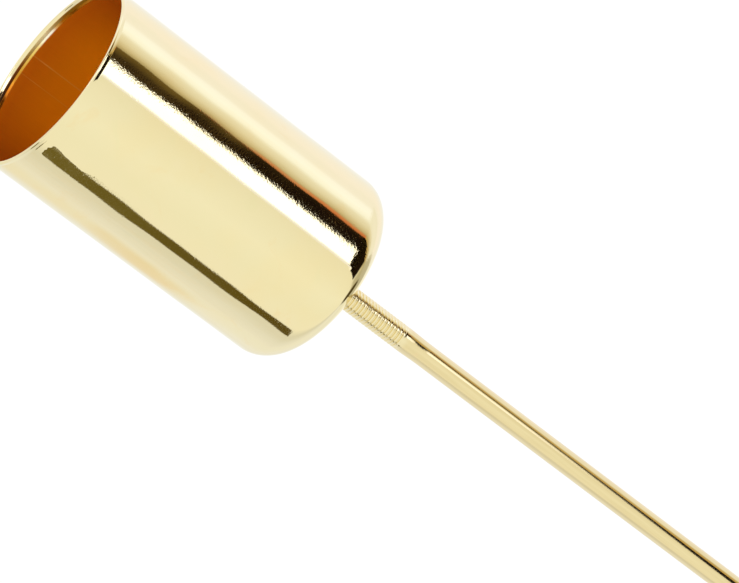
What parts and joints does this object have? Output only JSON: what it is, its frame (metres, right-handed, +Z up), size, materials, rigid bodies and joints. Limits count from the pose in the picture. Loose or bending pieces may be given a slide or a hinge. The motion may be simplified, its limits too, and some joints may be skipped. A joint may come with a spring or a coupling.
{
  "type": "taper candle pick",
  "caption": "Drawn metal candle cup with a rounded bottom and flared mouth, clamped by thin nuts and washers on the rolled thread of a straight pointed spike.",
  "frame": {"origin": "tip of the spike, on the common axis of spike, nuts and cup", "axes": "+Z up along the common axis, from the tip of the spike to the mouth of the cup; the part is round about it, so +X and +Y are free"},
  "size_m": [0.0236, 0.0236, 0.1506],
  "materials": {
    "plated_cup": "mirror polished, thin brass plating, satin inside",
    "plated_spike": "bright drawn wire, brass plated, faint draw lines",
    "plated_nut": "bright, brass plated, machined faces",
    "plated_washer": "stamped, brass plated, lightly tumbled"
  },
  "bodies": {
    "spike": {"spike_rod": "plated_spike"},
    "clamp_washers": {"upper_washer": "plated_washer", "lower_washer": "plated_washer"},
    "lower_nut": {"lower_nut": "plated_nut"},
    "upper_nut": {"upper_nut": "plated_nut"},
    "cup": {"candle_cup": "plated_cup"}
  },
  "joints": [
    {"name": "cup_height", "type": "slide", "parent": "spike", "child": "clamp_washers", "axis": [0, 0, 1], "range_m": [-0.009, 0.0005]},
    {"name": "lower_nut_turn", "type": "hinge", "parent": "clamp_washers", "child": "lower_nut", "pos_m": [0, 0, 0.1084], "axis": [0, 0, 1], "range_deg": [-6480, 360]},
    {"name": "upper_nut_turn", "type": "hinge", "parent": "clamp_washers", "child": "upper_nut", "pos_m": [0, 0, 0.1118], "axis": [0, 0, 1], "range_deg": [-6480, 360]},
    {"name": "cup_swivel", "type": "hinge", "parent": "clamp_washers", "child": "cup", "pos_m": [0, 0, 0.11], "axis": [0, 0, 1], "continuous": true}
  ],
  "couplings": [
    {"joint": "lower_nut_turn", "follows": "cup_height", "rad_per_m": 12566},
    {"joint": "upper_nut_turn", "follows": "cup_height", "rad_per_m": 12566}
  ]
}
